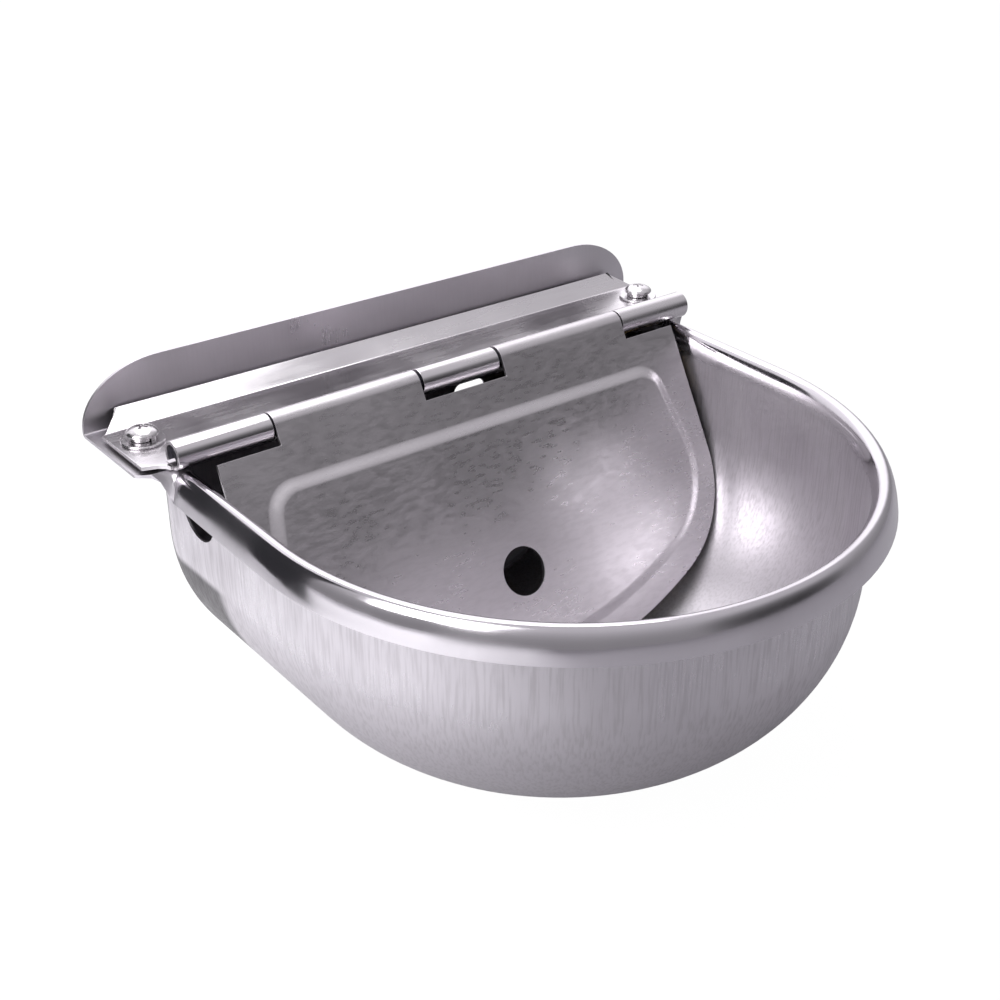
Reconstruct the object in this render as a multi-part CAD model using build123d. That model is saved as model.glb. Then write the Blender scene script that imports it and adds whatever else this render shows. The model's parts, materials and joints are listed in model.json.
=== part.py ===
"""Livestock drinking bowl: a pressed steel bowl with a hinged guard and a float valve.

Millimetres. The origin is on the wall face, on the centre line, level with the flange.
+X is to the right seen from the front, +Y goes into the wall and +Z is up.
"""

import os
from math import asin, atan2, cos, degrees, hypot, radians, sin

from build123d import *

# Bowl: one pressed sheet of plate, flange, rolled rim and basin.
BOWL_SHEET = 1.2
PLATE_HALF = 137.0
PLATE_TOP = 25.0
PLATE_CORNER = (33.0, 24.0)
PLATE_BEND = 0.8
RIM_HALF = 126.0
RIM_RADIUS = 5.0
SKIRT_BOTTOM = -16.0
SKIRT_END_RADIUS = 8.0
NOSE_Y = -115.0
SPLIT_Y = -46.0
EAR_Y = -40.2
REAR_Y = -8.0
BASIN_HALF = RIM_HALF - 2 * RIM_RADIUS + BOWL_SHEET
BASIN_BOTTOM = -122.0
CORNER_RADIUS = 72.0
FLOOR_RADIUS = 168.9
REAR_RADIUS = 21.0
FLANGE_DRAW = 3.0

# Wall slots in the rear wall, the inlet hole on the right and the overflow hole on the left.
SLOT_X = 38.5
SLOT_Z = -26.0
SLOT_LENGTH = 17.0
SLOT_HEIGHT = 8.5
INLET_Y = -44.5
INLET_Z = -32.0
INLET_HOLE = 11.0
OVERFLOW = (-50.3, -18.3, 12.0)

# Hinge: bracket on the flange, cover in front of it, one pin through both.
HINGE_Y = -51.0
HINGE_Z = 7.0
HINGE_SHEET = 1.5
BARREL_RADIUS = 5.6
BARREL_BORE = BARREL_RADIUS - HINGE_SHEET
PIN_RADIUS = 4.04
PIN_HALF = 123.0
BARREL_HALF = 125.0
END_KNUCKLE_FROM = 86.3
MID_KNUCKLE_TO = 18.7
COVER_KNUCKLE = (20.1, 85.5)
BRACKET_HALF = 134.5
BRACKET_NOTCH_Y = -45.0
CREASE_Y = -12.5
STRIP_END = (-3.3, 8.7)
STRIP_TOP_HALF = 123.7

# Bracket screws: M6 pan heads with spring and flat washers, nuts below the flange.
SCREW_X = 124.0
SCREW_Y = -25.0
SCREW_RADIUS = 2.95
SCREW_END_Z = -9.0
SCREW_HOLE = 3.3
HEAD_RADIUS = 6.0
HEAD_HEIGHT = 4.2
FLAT_WASHER = (8.15, 1.4)
LOCK_WASHER = (5.9, 1.6)
NUT_FLATS = 10.0
NUT_HEIGHT = 5.0
BOSS_RADIUS = 5.0
BOSS_HEIGHT = HINGE_Z - BARREL_RADIUS

# Guard cover, laid out flat: x across and s down from the hinge axis.
COVER_LEAN = 27.6
COVER_TOP_S = 7.8
COVER_TOP_HALF = 112.0
COVER_CORNER = (63.5, 66.0, 50.0)
COVER_FLOOR_S = -70.2
PANEL_TOP_S = 23.0
PANEL_CORNER = (64.2, 64.0, 38.0)
PANEL_SIDE_TILT = 12.0
PANEL_TOP_RADIUS = 11.0
PANEL_HEIGHT = 2.0
PANEL_RAMP = 3.4
COVER_HOLE_S = 84.8
COVER_HOLE_RADIUS = 10.0

# Float valve: a piston valve on the right wall with its axis along X.
TAIL_RADIUS = 10.48
TAIL_END_X = 137.0
TAIL_BORE = 7.0
THREAD_GROOVE = (9.7, 126.2, 127.2)
SHOULDER = (15.0, 4.0)
SEAL_WASHER = (14.5, 2.0)
BACK_WASHER = (15.0, 1.5)
LOCKNUT_FLATS = 27.0
LOCKNUT_WIDTH = 7.0
BARREL_END_X = 70.0
VALVE_RADIUS = 10.0
CAP_LENGTH = 4.0
CAP_SPIGOT = 2.5
CAP_SLOT = (1.8, 1.2)
OUTLET_RADIUS = 3.2
PISTON_BORE = 6.5
PISTON_RADIUS = 6.42
PISTON_BACK_X = 73.7
PISTON_FRONT_X = 95.5
PISTON_SEAL = (4.98, 93.0, 96.0)
SEAT_X = 101.6
SEAT_WALL = (102.6, 108.6)
NOZZLE_RADIUS = 5.0
ORIFICE_RADIUS = 1.75
STRAINER = (5.8, 112.0, 135.0)

# Lever, rod and float, laid out level with the valve shut and let down by the fall.
PIVOT_X = 84.0
PIVOT_DROP = 15.0
ARM_FALL = 20.0
PIVOT_RADIUS = 1.5
PIVOT_EAR = 4.2
PIVOT_HEAD = (2.6, 1.2)
PIVOT_TAIL = 2.2
PIVOT_GROOVE = (0.4, 0.3, 1.1)
CLIP_RADIUS = 3.2
CLIP_MOUTH = 1.8
LEVER_HALF = 2.2
LEVER_HUB = 4.2
LEVER_TIP = 2.1
LEVER_NECK = 3.6
LEVER_TONGUE = (10.0, 5.0)
LEVER_REACH = 24.0
SIDE_PLAY = 0.3
PIVOT_PLAY = 0.08
SOCKET_RADIUS = 3.8
SOCKET_FROM = 7.5
CLAMP_AT = 17.0
CLAMP_RADIUS = 1.5
CLAMP_HEAD = (3.4, 6.0, 9.0)
CLAMP_GROOVE = 0.5
ROD_RADIUS = 2.5
ROD_FROM = 9.0
FLOAT_FROM = 55.0
FLOAT_SIZE = (80.0, 46.0, 36.0)
FLOAT_Y = -41.0
FLOAT_ROUND = 9.0
FLOAT_BOSS = (6.0, 10.0)
FLOAT_BORE = 12.0
FLOAT_INSET = 0.8
ARM_NUT = (8.0, 4.0)
FIT = 0.05

PIVOT_Z = INLET_Z - PIVOT_DROP
HINGE_AXIS = Vector(0, HINGE_Y, HINGE_Z)
EAR_INNER = LEVER_HALF + SIDE_PLAY
EAR_OUTER = EAR_INNER + 3.5
PIVOT_PLANE = Plane(origin=(PIVOT_X, INLET_Y, PIVOT_Z), x_dir=(1, 0, 0), z_dir=(0, 1, 0))
VALVE_PLANE = Plane(origin=(0, INLET_Y, INLET_Z), x_dir=(0, 1, 0), z_dir=(1, 0, 0))
COVER_PLANE = Plane(
    origin=HINGE_AXIS,
    x_dir=(1, 0, 0),
    z_dir=(0, -cos(radians(COVER_LEAN)), sin(radians(COVER_LEAN))),
)


def rod(radius: float, start: float, end: float, plane: Plane = VALVE_PLANE) -> Solid:
    """Cylinder along the normal of a plane, between two distances from it."""
    upward = (Align.CENTER, Align.CENTER, Align.MIN)
    return plane.offset(start) * Cylinder(radius, end - start, align=upward)


def ring(outer: float, inner: float, start: float, end: float, plane: Plane = VALVE_PLANE) -> Solid:
    """Tube along the normal of a plane, between two distances from it."""
    return rod(outer, start, end, plane) - rod(inner, start - 1, end + 1, plane)


def hexagon(flats: float, start: float, end: float, plane: Plane = VALVE_PLANE) -> Solid:
    """Hexagonal prism along the normal of a plane, with two flats along its x."""
    shape = RegularPolygon(flats / 2, 6, major_radius=False, rotation=30)
    return extrude(plane.offset(start) * shape, end - start)


def prism(face: Face, x: float = 0, y: float = 0, z: float = 0) -> Solid:
    """Solid that a face sweeps when it moves along a vector."""
    way = Vector(x, y, z)
    return extrude(face, way.length, dir=way.normalized())


def block(x: tuple, y: tuple, z: tuple) -> Solid:
    """Box between two limits on each axis."""
    size = (x[1] - x[0], y[1] - y[0], z[1] - z[0])
    return Pos(x[0], y[0], z[0]) * Box(*size, align=Align.MIN)


def both_sides(shape: Solid) -> Compound:
    """The shape and its mirror image across the centre plane, as separate solids."""
    return Compound(children=[shape, mirror(shape, about=Plane.YZ)])


def symmetric_face(right: list) -> Face:
    """Face whose left half mirrors the edges given for its right half."""
    left = [edge.mirror(Plane.YZ) for edge in right]
    return Face(Wire(right + left))


def upright(x: float, y: float) -> Plane:
    """Plane at flange level whose normal goes straight up through a screw."""
    return Plane(origin=(x, y, 0))


# Bowl


def basin_arcs(inset: float) -> tuple:
    """Corner and floor arcs of the basin's right half, moved in from its outer skin."""
    corner_x = BASIN_HALF - CORNER_RADIUS
    floor_z = BASIN_BOTTOM + FLOOR_RADIUS
    turn = degrees(asin(corner_x / (FLOOR_RADIUS - CORNER_RADIUS)))
    corner_z = floor_z - corner_x / sin(radians(turn)) * cos(radians(turn))
    corner = CenterArc((corner_x, corner_z), CORNER_RADIUS - inset, turn - 90, 90 - turn)
    floor = CenterArc((0, floor_z), FLOOR_RADIUS - inset, -90, turn)
    return corner, floor


def sheet_section() -> Face:
    """Half section of the bowl's sheet: floor, wall, rolled rim and skirt."""
    crest = (RIM_HALF - RIM_RADIUS, -RIM_RADIUS)
    inner = BASIN_HALF - BOWL_SHEET
    outer_corner, outer_floor = basin_arcs(0)
    inner_corner, inner_floor = basin_arcs(BOWL_SHEET)
    outline = Wire(
        [
            inner_floor,
            inner_corner,
            Line(inner_corner @ 1, (inner, crest[1])),
            CenterArc(crest, RIM_RADIUS, 0, 180),
            Line((RIM_HALF, crest[1]), (RIM_HALF, SKIRT_BOTTOM)),
            Line((RIM_HALF, SKIRT_BOTTOM), (RIM_HALF - BOWL_SHEET, SKIRT_BOTTOM)),
            Line((RIM_HALF - BOWL_SHEET, SKIRT_BOTTOM), (RIM_HALF - BOWL_SHEET, crest[1])),
            CenterArc(crest, RIM_RADIUS - BOWL_SHEET, 0, 180),
            Line((BASIN_HALF, crest[1]), outer_corner @ 1),
            outer_corner,
            outer_floor,
            Line(outer_floor @ 0, inner_floor @ 0),
        ]
    )
    return Face(outline)


def front_bowl() -> Solid:
    """Rounded front and straight sides of the bowl, from one section of its sheet."""
    section = sheet_section()
    half = Plane.XZ.offset(-NOSE_Y) * section
    nose = revolve(half, Axis((0, NOSE_Y, 0), (0, 0, -1)), 180)
    side = prism(half, y=SPLIT_Y - NOSE_Y)
    skirt_end = Pos(RIM_HALF, SPLIT_Y - SKIRT_END_RADIUS, SKIRT_BOTTOM + SKIRT_END_RADIUS)
    corner = Box(8, SKIRT_END_RADIUS, SKIRT_END_RADIUS, align=(Align.CENTER, Align.MIN, Align.MAX))
    corner -= Cylinder(SKIRT_END_RADIUS, 8, rotation=(0, 90, 0))
    side -= skirt_end * corner
    return nose + side + mirror(side, about=Plane.YZ)


def trough(inset: float) -> Solid:
    """Rear end of the basin as a solid block, its rear edge rounded."""
    corner, floor = basin_arcs(inset)
    half = BASIN_HALF - inset
    outline = symmetric_face([floor, corner, Line(corner @ 1, (half, 0)), Line((half, 0), (0, 0))])
    rear = REAR_Y - inset
    body = prism(Plane.XZ.offset(-rear) * outline, y=SPLIT_Y - rear)
    edges = body.faces().sort_by(Axis.Y)[-1].edges().filter_by(lambda e: (e @ 0.5).Z < -1)
    return fillet(edges, REAR_RADIUS - inset)


def flange_outline() -> Face:
    """Flange from above, with its front corners running in to the rim."""
    crest = RIM_HALF - RIM_RADIUS
    right = [
        Line((0, 0), (PLATE_HALF, 0)),
        Line((PLATE_HALF, 0), (PLATE_HALF, EAR_Y)),
        RadiusArc((PLATE_HALF, EAR_Y), (RIM_HALF, HINGE_Y), 14),
        Line((RIM_HALF, HINGE_Y), (crest, SPLIT_Y)),
        Line((crest, SPLIT_Y), (0, SPLIT_Y)),
    ]
    return symmetric_face(right)


def wall_plate() -> Solid:
    """Plate that stands up behind the flange, its top corners rounded off."""
    rx, rz = PLATE_CORNER
    shoulder = PLATE_TOP - rz
    right = [
        Line((0, PLATE_TOP), (PLATE_HALF - rx, PLATE_TOP)),
        EllipticalCenterArc((PLATE_HALF - rx, shoulder), rx, rz, 0, arc_size=90),
        Line((PLATE_HALF, shoulder), (PLATE_HALF, -BOWL_SHEET)),
        Line((PLATE_HALF, -BOWL_SHEET), (0, -BOWL_SHEET)),
    ]
    return prism(Plane.XZ * symmetric_face(right), y=-BOWL_SHEET)


def rear_bowl() -> Solid:
    """Rear of the basin with the flange round it and the wall plate behind."""
    slab = prism(flange_outline(), z=-BOWL_SHEET)
    inner = trough(BOWL_SHEET)
    body = trough(0) + slab + wall_plate() - inner
    back = body.edges().filter_by(Axis.X).sort_by(Axis.Y)
    bend_under = back.filter_by(lambda e: abs((e @ 0.5).Y) < 0.01 and (e @ 0.5).Z < -1)
    bend_top = back.filter_by(lambda e: abs((e @ 0.5).Y + BOWL_SHEET) < 0.01 and abs((e @ 0.5).Z) < 0.01)
    body = fillet(bend_top, PLATE_BEND)
    body = fillet(bend_under, PLATE_BEND + BOWL_SHEET)
    mouth = body.edges().filter_by(lambda e: on_mouth(e, 0, BOWL_SHEET))
    body = fillet(mouth, FLANGE_DRAW)
    under = body.edges().filter_by(lambda e: on_mouth(e, -BOWL_SHEET, 0))
    return fillet(under, FLANGE_DRAW - BOWL_SHEET)


def on_mouth(edge: Edge, level: float, inset: float) -> bool:
    """Whether an edge runs round the basin's mouth, at one face of the flange."""
    box = edge.bounding_box()
    level_edge = abs(box.min.Z - level) < 0.01 and abs(box.max.Z - level) < 0.01
    half = BASIN_HALF - inset + 0.01
    inside = box.max.X < half and box.min.X > -half and box.max.Y < REAR_Y - inset + 0.01
    at_split = box.max.Y < SPLIT_Y + 0.01
    return level_edge and inside and not at_split


def screw_boss() -> Solid:
    """Boss pressed up round a screw hole, which carries the bracket clear of the flange."""
    return rod(BOSS_RADIUS, -BOWL_SHEET / 2, BOSS_HEIGHT, upright(SCREW_X, SCREW_Y))


def screw_bore() -> Solid:
    """Screw hole and the hollow that pressing leaves below the boss."""
    plane = upright(SCREW_X, SCREW_Y)
    hollow = rod(BOSS_RADIUS - BOWL_SHEET, -BOWL_SHEET - 1, BOSS_HEIGHT - BOWL_SHEET, plane)
    return hollow + rod(SCREW_HOLE, -5, 5, plane)


def wall_slot() -> Solid:
    """Slot through the rear wall for one wall screw."""
    shape = Pos(SLOT_X, SLOT_Z) * SlotOverall(SLOT_LENGTH, SLOT_HEIGHT)
    return prism(Plane.XZ.offset(-REAR_Y - 5) * shape, y=-10)


def overflow_hole() -> Solid:
    """Round hole in the left wall that lets water out before it reaches the rim."""
    y, z, radius = OVERFLOW
    across = Plane(origin=(0, y, z), x_dir=(0, 1, 0), z_dir=(1, 0, 0))
    return rod(radius, -BASIN_HALF - 5, -BASIN_HALF + 5, across)


def drinking_bowl() -> Solid:
    """Pressed bowl with its holes: wall slots, screw bosses, inlet and overflow."""
    bowl = front_bowl() + rear_bowl()
    bowl += both_sides(screw_boss()).solids()
    for cut in (screw_bore(), wall_slot()):
        bowl -= both_sides(cut).solids()
    bowl -= rod(INLET_HOLE, BASIN_HALF - 5, BASIN_HALF + 5)
    return bowl - overflow_hole()


# Hinge


def curl(start: float, sweep: float) -> Face:
    """Section of a barrel rolled from sheet, round the hinge axis in the YZ plane."""
    centre = (HINGE_Y, HINGE_Z)
    outer = CenterArc(centre, BARREL_RADIUS, start, sweep)
    inner = CenterArc(centre, BARREL_BORE, start, sweep)
    return Face(Wire([outer, Line(outer @ 0, inner @ 0), inner, Line(outer @ 1, inner @ 1)]))


def knuckle(section: Face, start: float, end: float) -> Solid:
    """Length of rolled barrel between two places along the hinge."""
    return prism(Plane.YZ.offset(start) * section, x=end - start)


def bracket_sheet() -> Solid:
    """Flat leg of the bracket and the strip that rises behind its crease."""
    bottom = HINGE_Z - BARREL_RADIUS
    top = bottom + HINGE_SHEET
    rise = atan2(STRIP_END[1] - top, STRIP_END[0] - CREASE_Y)
    across = (HINGE_SHEET * sin(rise), -HINGE_SHEET * cos(rise))
    under = HINGE_SHEET * (1 - cos(rise)) / sin(rise)
    points = [
        (HINGE_Y, bottom),
        (HINGE_Y, top),
        (CREASE_Y, top),
        STRIP_END,
        (STRIP_END[0] + across[0], STRIP_END[1] + across[1]),
        (CREASE_Y + under, bottom),
    ]
    section = make_face(Polyline(*points, close=True))
    creases = section.vertices().filter_by(lambda v: abs(v.X - CREASE_Y) < 2)
    section = fillet(creases, HINGE_SHEET)
    return prism(Plane.YZ.offset(-BRACKET_HALF) * section, x=2 * BRACKET_HALF)


def bracket_plan() -> Solid:
    """Outline of the bracket from above, as a tall block to trim it with."""
    right = [
        (BARREL_HALF, HINGE_Y),
        (BARREL_HALF + 1, HINGE_Y + 1.2),
        (BARREL_HALF + 4.7, HINGE_Y + 4.8),
        (BRACKET_HALF, HINGE_Y + 7.1),
        (BRACKET_HALF, CREASE_Y),
        (STRIP_TOP_HALF, STRIP_END[0]),
        (STRIP_TOP_HALF, 0),
    ]
    left = [(-x, y) for x, y in reversed(right)]
    return prism(make_face(Polyline(*right, *left, close=True)), z=20)


def hinge_bracket() -> Solid:
    """Bracket on the flange: leg, raised strip and three rolled knuckles."""
    bracket = bracket_sheet() & bracket_plan()
    section = curl(270, -310)
    low, high = MID_KNUCKLE_TO, END_KNUCKLE_FROM
    notch = block((low, high), (HINGE_Y - 8, BRACKET_NOTCH_Y), (0, 20))
    notch = fillet(notch.edges().filter_by(Axis.Z).group_by(Axis.Y)[-1], 1.5)
    bracket -= both_sides(notch).solids()
    bracket += knuckle(section, -low, low)
    bracket += both_sides(knuckle(section, high, BARREL_HALF)).solids()
    holes = both_sides(rod(SCREW_HOLE, -5, 15, upright(SCREW_X, SCREW_Y)))
    return bracket - holes.solids()


def hinge_pin() -> Solid:
    """Round pin through all five knuckles, a little short of the barrel's ends."""
    pin = rod(PIN_RADIUS, -PIN_HALF, PIN_HALF, Plane(HINGE_AXIS, x_dir=(0, 1, 0), z_dir=(1, 0, 0)))
    return chamfer(pin.edges().filter_by(GeomType.CIRCLE), 0.6)


# Guard cover


def cover_arcs(corner: tuple, grow: float, tilt: float) -> tuple:
    """Corner arc and the floor arc that meets it smoothly, on the right half."""
    x, s, radius = corner
    drop = s - COVER_FLOOR_S
    turn = degrees(atan2(x, drop))
    bend = CenterArc((x, -s), radius + grow, turn - 90, 90 - turn + tilt)
    floor = CenterArc((0, -COVER_FLOOR_S), hypot(x, drop) + radius + grow, -90, turn)
    return bend, floor


def cover_outline() -> Face:
    """Flat outline of the cover's sheet below the knuckles."""
    corner, floor = cover_arcs(COVER_CORNER, 0, 0)
    right = [
        floor,
        corner,
        Line(corner @ 1, (COVER_TOP_HALF, -COVER_TOP_S)),
        Line((COVER_TOP_HALF, -COVER_TOP_S), (0, -COVER_TOP_S)),
    ]
    return symmetric_face(right)


def panel_outline(grow: float) -> Face:
    """Outline of the raised panel, grown outward by a distance."""
    corner, floor = cover_arcs(PANEL_CORNER, grow, PANEL_SIDE_TILT)
    side = corner @ 1
    top = grow - PANEL_TOP_S
    shoulder = side.X - (top - side.Y) * sin(radians(PANEL_SIDE_TILT)) / cos(radians(PANEL_SIDE_TILT))
    right = [floor, corner, Line(side, (shoulder, top)), Line((shoulder, top), (0, top))]
    face = symmetric_face(right)
    corners = face.vertices().group_by(Axis.Y)[-1].filter_by(lambda v: abs(v.X) > 1)
    return face.fillet_2d(PANEL_TOP_RADIUS + grow, corners)


def panel(level: float) -> Solid:
    """Raised panel as a block with sloping sides, standing on a level of the sheet."""
    base = Pos(0, 0, level) * panel_outline(PANEL_RAMP / 2)
    crown = Pos(0, 0, level + PANEL_HEIGHT) * panel_outline(-PANEL_RAMP / 2)
    return loft([base, crown], ruled=True)


def guard_cover() -> Solid:
    """Hinged guard: sheet with a raised panel, an eye and two rolled knuckles."""
    back = BARREL_BORE
    sheet = prism(Pos(0, 0, back) * cover_outline(), z=HINGE_SHEET)
    start, end = COVER_KNUCKLE
    tab = block((start, end), (-COVER_TOP_S - 1, 0), (back, BARREL_RADIUS))
    sheet += both_sides(tab).solids()
    sheet += panel(BARREL_RADIUS)
    sheet -= panel(back)
    sheet -= Pos(0, -COVER_HOLE_S, back) * Cylinder(COVER_HOLE_RADIUS, 20)
    section = curl(180 - COVER_LEAN, -302)
    cover = COVER_PLANE * sheet
    return cover + both_sides(knuckle(section, start, end)).solids()


# Bracket fasteners


def bracket_screws() -> Compound:
    """Two M6 pan-head screws with cross recesses."""
    seat = HINGE_Z - BARREL_BORE + FLAT_WASHER[1] + LOCK_WASHER[1]
    plane = upright(SCREW_X, SCREW_Y)
    head = rod(HEAD_RADIUS, seat, seat + HEAD_HEIGHT, plane)
    head = fillet(head.edges().group_by(Axis.Z)[-1], HEAD_HEIGHT * 0.55)
    floor = plane.offset(seat + HEAD_HEIGHT - 2)
    for turn in (45, 135):
        head -= floor * Rot(0, 0, turn) * Box(6.4, 1.4, 4, align=(Align.CENTER, Align.CENTER, Align.MIN))
    shank = rod(SCREW_RADIUS, SCREW_END_Z, seat, plane)
    shank = chamfer(shank.edges().group_by(Axis.Z)[0], 0.6)
    return both_sides(head + shank)


def flat_washers() -> Compound:
    """Two flat washers on the bracket."""
    radius, thick = FLAT_WASHER
    low = HINGE_Z - BARREL_BORE
    return both_sides(ring(radius, 3.2, low, low + thick, upright(SCREW_X, SCREW_Y)))


def lock_washers() -> Compound:
    """Two split spring washers under the screw heads."""
    radius, thick = LOCK_WASHER
    low = HINGE_Z - BARREL_BORE + FLAT_WASHER[1]
    washer = ring(radius, 3.1, low, low + thick, upright(SCREW_X, SCREW_Y))
    split = Pos(SCREW_X, SCREW_Y - 4.5, low) * Rot(0, 25, 0) * Box(0.6, 5, 8)
    return both_sides(washer - split)


def bracket_nuts() -> Compound:
    """Two M6 nuts under the flange."""
    plane = upright(SCREW_X, SCREW_Y)
    low = -BOWL_SHEET - NUT_HEIGHT
    nut = hexagon(NUT_FLATS, low, -BOWL_SHEET, plane)
    return both_sides(nut - rod(SCREW_RADIUS + FIT, low - 1, 0, plane))


# Inlet fittings


def sealing_washer() -> Solid:
    """Rubber washer between the valve's shoulder and the inside of the wall."""
    radius, thick = SEAL_WASHER
    wall = BASIN_HALF - BOWL_SHEET
    return ring(radius, TAIL_RADIUS + FIT, wall - thick, wall)


def backing_washer() -> Solid:
    """Flat washer outside the wall, under the locknut."""
    radius, thick = BACK_WASHER
    return ring(radius, TAIL_RADIUS + FIT, BASIN_HALF, BASIN_HALF + thick)


def inlet_locknut() -> Solid:
    """Thin brass locknut that pulls the valve against the wall."""
    low = BASIN_HALF + BACK_WASHER[1]
    nut = hexagon(LOCKNUT_FLATS, low, low + LOCKNUT_WIDTH)
    nut &= chamfer(rod(LOCKNUT_FLATS * 0.572, low, low + LOCKNUT_WIDTH).edges(), 1.2)
    return nut - rod(TAIL_RADIUS + FIT, low - 1, low + LOCKNUT_WIDTH + 1)


# Float valve


def valve_body() -> Solid:
    """Brass body: threaded tail, shoulder, piston barrel and the two pivot ears."""
    shoulder_to = BASIN_HALF - BOWL_SHEET - SEAL_WASHER[1]
    radius, thick = SHOULDER
    tail = rod(TAIL_RADIUS, shoulder_to - 1, TAIL_END_X)
    tail = chamfer(tail.edges().group_by(Axis.X)[-1], 1)
    body = tail + rod(radius, shoulder_to - thick, shoulder_to)
    body += rod(VALVE_RADIUS, BARREL_END_X, shoulder_to)
    body += pivot_ears()
    body -= rod(PISTON_BORE, BARREL_END_X - 1, SEAT_WALL[0])
    body -= rod(NOZZLE_RADIUS + FIT, SEAT_WALL[0] - 1, SEAT_WALL[1] + 1)
    body -= rod(TAIL_BORE, SEAT_WALL[1], TAIL_END_X + 1)
    root, groove_from, groove_to = THREAD_GROOVE
    body -= ring(TAIL_RADIUS + 1, root, groove_from, groove_to)
    travel = (PIVOT_X - 5.5, PIVOT_X + 5.5)
    sides = (INLET_Y - EAR_INNER, INLET_Y + EAR_INNER)
    body -= block(travel, sides, (PIVOT_Z - PIVOT_EAR - 1, INLET_Z - 1))
    outlet = Plane(origin=(SEAT_WALL[0] - OUTLET_RADIUS - 0.4, INLET_Y, INLET_Z))
    return body - rod(OUTLET_RADIUS, -VALVE_RADIUS - 1, 0, outlet)


def pivot_ears() -> Solid:
    """Two ears below the barrel with the pivot hole across them."""
    along = (PIVOT_X - PIVOT_EAR, PIVOT_X + PIVOT_EAR)
    ears = rod(PIVOT_EAR, -EAR_OUTER, EAR_OUTER, PIVOT_PLANE)
    ears += block(along, (INLET_Y - EAR_OUTER, INLET_Y + EAR_OUTER), (PIVOT_Z, INLET_Z - 8.5))
    return ears - rod(PIVOT_RADIUS + FIT, -EAR_OUTER - 1, EAR_OUTER + 1, PIVOT_PLANE)


def valve_end_cap() -> Solid:
    """Screwed cap that closes the open end of the barrel."""
    width, depth = CAP_SLOT
    face = BARREL_END_X - CAP_LENGTH
    cap = rod(VALVE_RADIUS, face, BARREL_END_X)
    cap = fillet(cap.edges().group_by(Axis.X)[0], 1.2)
    cap += rod(PISTON_BORE - FIT, BARREL_END_X, BARREL_END_X + CAP_SPIGOT)
    across = (INLET_Y - VALVE_RADIUS - 1, INLET_Y + VALVE_RADIUS + 1)
    slot = block((face - 1, face + depth), across, (INLET_Z - width / 2, INLET_Z + width / 2))
    return cap - slot


def valve_nozzle() -> Solid:
    """Seat with the orifice that the piston closes, held by a shoulder."""
    seat = rod(NOZZLE_RADIUS, SEAT_X, SEAT_WALL[1])
    seat = chamfer(seat.edges().group_by(Axis.X)[0], 1.5)
    seat += rod(TAIL_BORE - FIT, SEAT_WALL[1], SEAT_WALL[1] + 1.5)
    return seat - rod(ORIFICE_RADIUS, SEAT_X - 1, SEAT_WALL[1] + 3)


def inlet_strainer() -> Solid:
    """Thimble strainer in the tail, with rows of slots and a collar."""
    radius, inner_x, outer_x = STRAINER
    wall = 0.9
    thimble = rod(radius, inner_x, outer_x) - rod(radius - wall, inner_x + wall, outer_x + 1)
    thimble += ring(TAIL_BORE - FIT, radius - wall, outer_x - 1.5, outer_x)
    for turn in range(0, 180, 45):
        slot = Box(2, 20, outer_x - inner_x - 8)
        thimble -= VALVE_PLANE.offset((inner_x + outer_x) / 2) * Rot(0, 0, turn) * slot
    return thimble


def valve_piston() -> Solid:
    """Sliding piston with the lever's slot and a recess for its rubber."""
    radius, rubber_from, _ = PISTON_SEAL
    piston = rod(PISTON_RADIUS, PISTON_BACK_X, PISTON_FRONT_X)
    piston = chamfer(piston.edges().group_by(Axis.X)[0], 0.8)
    piston -= rod(radius + 0.02, rubber_from, PISTON_FRONT_X + 1)
    centre = PIVOT_X - PIVOT_DROP * sin(radians(ARM_FALL / 2))
    half = LEVER_TIP + 0.3
    across = LEVER_HALF + 0.3
    sides = (INLET_Y - across, INLET_Y + across)
    pocket = block((centre - half, centre + half), sides, (INLET_Z - 8, INLET_Z + 2.6))
    mouth = block((centre - half - 1.2, centre + half + 1.2), sides, (INLET_Z - 8, INLET_Z - 2.4))
    return piston - pocket - mouth


def piston_seal() -> Solid:
    """Rubber disc in the piston's face."""
    radius, back, front = PISTON_SEAL
    return rod(radius, back, front)


# Lever, rod and float


def let_down(shape: Solid) -> Solid:
    """Turns a piece of the arm from level down to where it hangs when the bowl is dry."""
    return shape.rotate(Axis((PIVOT_X, INLET_Y, PIVOT_Z), (0, 1, 0)), -ARM_FALL)


def along_arm(distance: float) -> Plane:
    """Plane across the level arm, its normal pointing out along it."""
    return Plane(origin=(PIVOT_X - distance, INLET_Y, PIVOT_Z), x_dir=(0, 1, 0), z_dir=(-1, 0, 0))


def float_lever() -> Solid:
    """Cranked lever: hub on the pivot, tip in the piston and socket for the rod."""
    lean = radians(ARM_FALL / 2)
    tip = (PIVOT_X + PIVOT_DROP * sin(lean), PIVOT_Z + PIVOT_DROP * cos(lean))
    section = Plane.XZ.offset(-INLET_Y + LEVER_HALF)
    hub = Pos(PIVOT_X, PIVOT_Z) * Circle(LEVER_HUB)
    finger = Pos(*tip) * Circle(LEVER_TIP)
    middle = ((PIVOT_X + tip[0]) / 2, (PIVOT_Z + tip[1]) / 2)
    neck = Pos(*middle) * Rot(0, 0, -ARM_FALL / 2) * Rectangle(LEVER_NECK, PIVOT_DROP)
    tongue = Pos(PIVOT_X - LEVER_TONGUE[0] / 2, PIVOT_Z) * Rectangle(*LEVER_TONGUE)
    lever = prism(section * (hub + finger + neck + tongue), y=2 * LEVER_HALF)
    lever += rod(SOCKET_RADIUS, SOCKET_FROM, LEVER_REACH, along_arm(0))
    lever -= rod(ROD_RADIUS + FIT, ROD_FROM, LEVER_REACH + 1, along_arm(0))
    lever -= rod(CLAMP_RADIUS + FIT, 0, SOCKET_RADIUS + 1, clamp_plane())
    return let_down(lever - rod(PIVOT_RADIUS + PIVOT_PLAY, -EAR_OUTER, EAR_OUTER, PIVOT_PLANE))


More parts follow.
